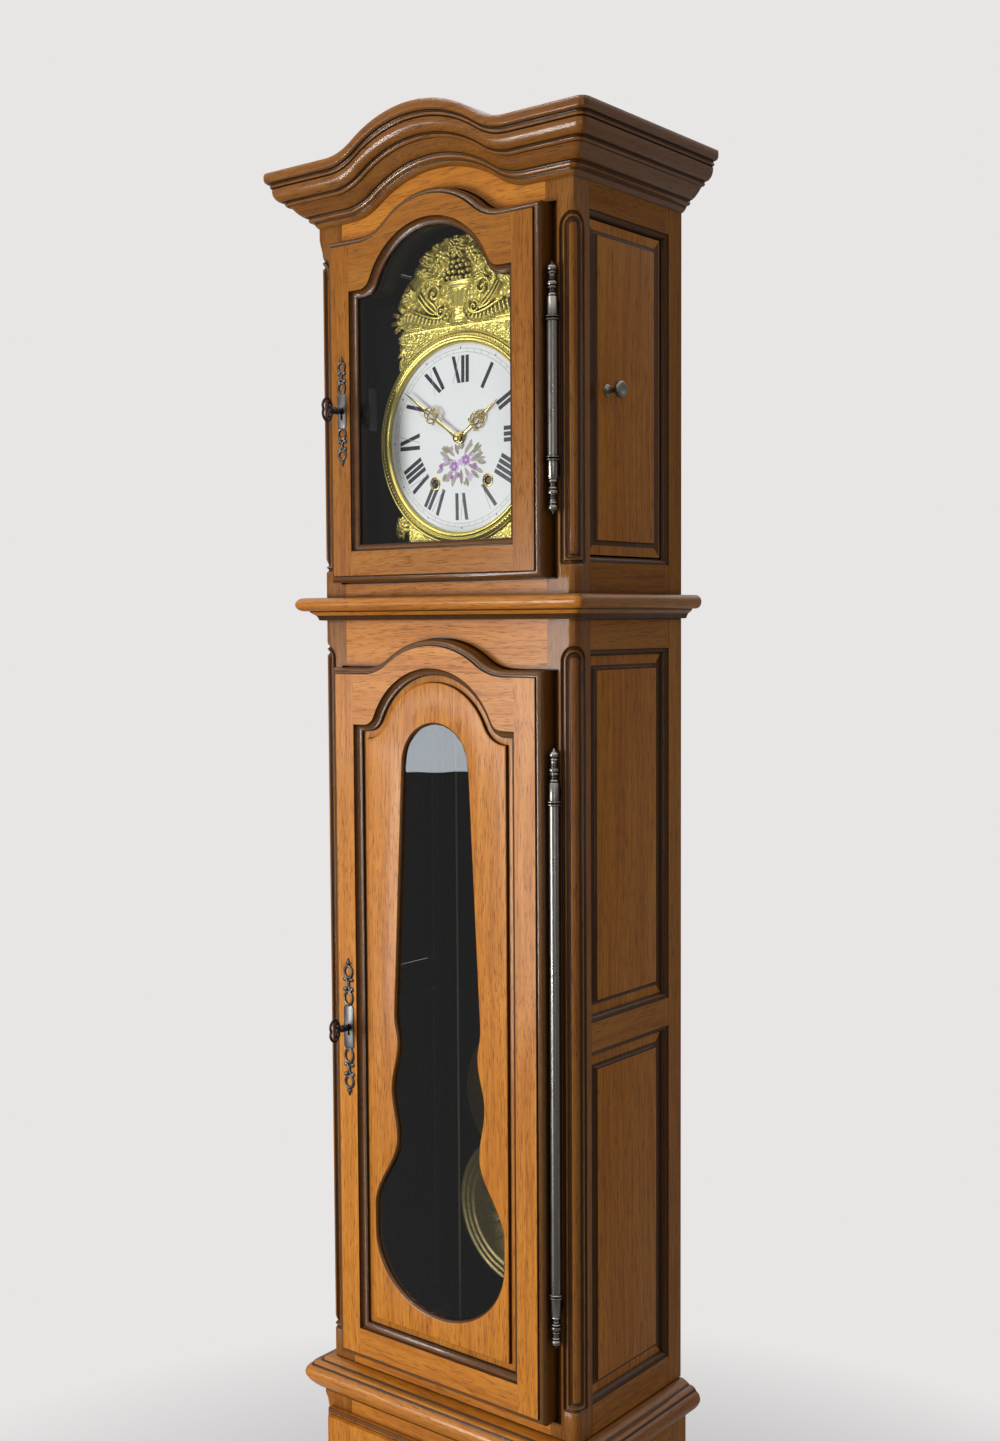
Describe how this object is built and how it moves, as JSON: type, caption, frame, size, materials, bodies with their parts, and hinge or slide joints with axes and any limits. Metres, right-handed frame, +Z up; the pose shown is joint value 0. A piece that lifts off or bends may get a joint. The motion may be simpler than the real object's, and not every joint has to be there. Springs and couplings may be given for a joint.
{
  "type": "longcase clock",
  "caption": "Tall oak comtoise clock case with arched hood and trunk doors, embossed brass dial mask, enamel dial, weight-driven cage movement and a disc pendulum.",
  "frame": {"origin": "on the floor, under the middle of the trunk", "axes": "+Z up, -Y out of the dial, +X to the right of a person facing the dial"},
  "size_m": [0.504, 0.286, 2.14],
  "materials": {
    "oak": "waxed",
    "dark_oak": "waxed",
    "steel": "aged",
    "iron": "dark",
    "brass": "embossed, aged",
    "enamel": "glossy enamel",
    "pane": "clear",
    "hemp": "matte"
  },
  "bodies": {
    "case": {"base_floor": "dark_oak", "base_frame": "oak", "base_panels": "oak", "plinth": "dark_oak", "base_moulding": "oak", "trunk_front_frame": "oak", "trunk_side_frames": "oak", "trunk_side_panels": "oak", "waist_moulding": "oak", "hood_front_frame": "oak", "hood_side_frames": "oak", "cornice": "oak", "roof_board": "dark_oak", "back_board": "dark_oak", "seat_board": "dark_oak", "case_pintles": "steel", "dial_mask": "brass", "dial": "enamel", "movement_cage": "iron", "bell_stand": "iron", "bell": "brass", "going_cord": "hemp", "strike_cord": "hemp"},
    "trunk_bolt": {"trunk_bolt": "brass"},
    "trunk_key": {"trunk_key": "iron"},
    "hood_bolt": {"hood_bolt": "brass"},
    "hood_key": {"hood_key": "iron"},
    "trunk_door": {"trunk_door_frame": "oak", "trunk_door_panel": "oak", "trunk_door_glass": "pane", "trunk_hinge_barrel": "steel", "trunk_escutcheon": "steel", "trunk_lock": "steel"},
    "hood_door": {"hood_door_frame": "oak", "hood_door_glass": "pane", "hood_hinge_barrel": "steel", "hood_escutcheon": "steel", "hood_lock": "steel"},
    "left_side_door": {"side_door_left": "oak", "side_knob_left": "steel"},
    "right_side_door": {"side_door_right": "oak", "side_knob_right": "steel"},
    "minute_arbor": {"minute_hand": "brass", "centre_wheel": "brass"},
    "hour_pipe": {"hour_hand": "brass", "hour_wheel": "brass"},
    "minute_wheel": {"minute_wheel": "brass"},
    "going_great": {"going_great_wheel": "brass"},
    "escape": {"escape_wheel": "brass"},
    "anchor": {"anchor": "iron"},
    "strike_great": {"strike_great_wheel": "brass"},
    "pin_wheel": {"pin_wheel": "brass"},
    "hammer": {"hammer": "iron"},
    "going_drum": {"going_drum": "iron"},
    "strike_drum": {"strike_drum": "iron"},
    "going_weight": {"going_weight": "iron"},
    "strike_weight": {"strike_weight": "iron"},
    "pendulum": {"pendulum_rod": "iron", "pendulum_bob": "brass", "pendulum_plate": "brass"}
  },
  "joints": [
    {"name": "trunk_door_swing", "type": "hinge", "parent": "case", "child": "trunk_door", "pos_m": [0.1755, -0.1215, 1.03], "axis": [0, 0, 1], "range_deg": [0, 110]},
    {"name": "hood_door_swing", "type": "hinge", "parent": "case", "child": "hood_door", "pos_m": [0.1755, -0.1215, 1.79], "axis": [0, 0, 1], "range_deg": [0, 110]},
    {"name": "right_side_door_swing", "type": "hinge", "parent": "case", "child": "right_side_door", "pos_m": [0.189, 0.07, 1.8], "axis": [0, 0, 1], "range_deg": [0, 90]},
    {"name": "left_side_door_swing", "type": "hinge", "parent": "case", "child": "left_side_door", "pos_m": [-0.189, 0.07, 1.8], "axis": [0, 0, -1], "range_deg": [0, 90]},
    {"name": "trunk_key_turn", "type": "hinge", "parent": "trunk_door", "child": "trunk_key", "pos_m": [-0.1412, -0.113, 1.015], "axis": [0, 1, 0], "range_deg": [0, 180]},
    {"name": "hood_key_turn", "type": "hinge", "parent": "hood_door", "child": "hood_key", "pos_m": [-0.1412, -0.113, 1.7935], "axis": [0, 1, 0], "range_deg": [0, 180]},
    {"name": "trunk_bolt_slide", "type": "slide", "parent": "trunk_door", "child": "trunk_bolt", "axis": [-1, 0, 0], "range_m": [0, 0.008]},
    {"name": "hood_bolt_slide", "type": "slide", "parent": "hood_door", "child": "hood_bolt", "axis": [-1, 0, 0], "range_m": [0, 0.008]},
    {"name": "minute_turn", "type": "hinge", "parent": "case", "child": "minute_arbor", "pos_m": [0, -0.113, 1.7556], "axis": [0, 1, 0], "continuous": true},
    {"name": "hour_turn", "type": "hinge", "parent": "case", "child": "hour_pipe", "pos_m": [0, -0.113, 1.7556], "axis": [0, 1, 0], "continuous": true},
    {"name": "minute_wheel_turn", "type": "hinge", "parent": "case", "child": "minute_wheel", "pos_m": [0, -0.113, 1.7268], "axis": [0, 1, 0], "continuous": true},
    {"name": "going_great_turn", "type": "hinge", "parent": "case", "child": "going_great", "pos_m": [0.042, -0.113, 1.7021], "axis": [0, 1, 0], "continuous": true},
    {"name": "escape_turn", "type": "hinge", "parent": "case", "child": "escape", "pos_m": [0, -0.113, 1.7886], "axis": [0, 1, 0], "continuous": true},
    {"name": "strike_great_turn", "type": "hinge", "parent": "case", "child": "strike_great", "pos_m": [-0.042, -0.113, 1.7021], "axis": [0, 1, 0], "continuous": true},
    {"name": "pin_wheel_turn", "type": "hinge", "parent": "case", "child": "pin_wheel", "pos_m": [-0.0563, -0.113, 1.7686], "axis": [0, 1, 0], "continuous": true},
    {"name": "hammer_lift", "type": "hinge", "parent": "case", "child": "hammer", "pos_m": [-0.058, -0.113, 1.8316], "axis": [0, -1, 0], "range_deg": [0, 12], "stiffness_Nm_per_rad": 0.02},
    {"name": "pendulum_swing", "type": "hinge", "parent": "case", "child": "pendulum", "pos_m": [0, 0.051, 1.8206], "axis": [0, 1, 0], "range_deg": [-3, 3]},
    {"name": "anchor_rock", "type": "hinge", "parent": "case", "child": "anchor", "pos_m": [0, -0.113, 1.8206], "axis": [0, 1, 0], "range_deg": [-3, 3]},
    {"name": "going_weight_rise", "type": "slide", "parent": "case", "child": "going_weight", "axis": [0, 0, 1], "range_m": [0, 1.2], "deforming": ["going_cord"]},
    {"name": "strike_weight_rise", "type": "slide", "parent": "case", "child": "strike_weight", "axis": [0, 0, 1], "range_m": [0, 1.2], "deforming": ["strike_cord"]},
    {"name": "going_drum_turn", "type": "hinge", "parent": "case", "child": "going_drum", "pos_m": [0.042, -0.113, 1.7021], "axis": [0, 1, 0], "range_deg": [-3200, 3200]},
    {"name": "strike_drum_turn", "type": "hinge", "parent": "case", "child": "strike_drum", "pos_m": [-0.042, -0.113, 1.7021], "axis": [0, 1, 0], "range_deg": [-3200, 3200]}
  ],
  "couplings": [
    {"joint": "trunk_key_turn", "follows": "trunk_bolt_slide", "rad_per_m": 392.7},
    {"joint": "hood_key_turn", "follows": "hood_bolt_slide", "rad_per_m": 392.7},
    {"joint": "hour_turn", "follows": "minute_turn", "ratio": 0.083333},
    {"joint": "minute_wheel_turn", "follows": "minute_turn", "ratio": -0.33333},
    {"joint": "going_great_turn", "follows": "minute_turn", "ratio": -0.25},
    {"joint": "escape_turn", "follows": "minute_turn", "ratio": -4},
    {"joint": "strike_great_turn", "follows": "pin_wheel_turn", "ratio": -0.25},
    {"joint": "anchor_rock", "follows": "pendulum_swing", "ratio": 1},
    {"joint": "going_drum_turn", "follows": "going_weight_rise", "rad_per_m": -45.872},
    {"joint": "strike_drum_turn", "follows": "strike_weight_rise", "rad_per_m": 45.872}
  ]
}
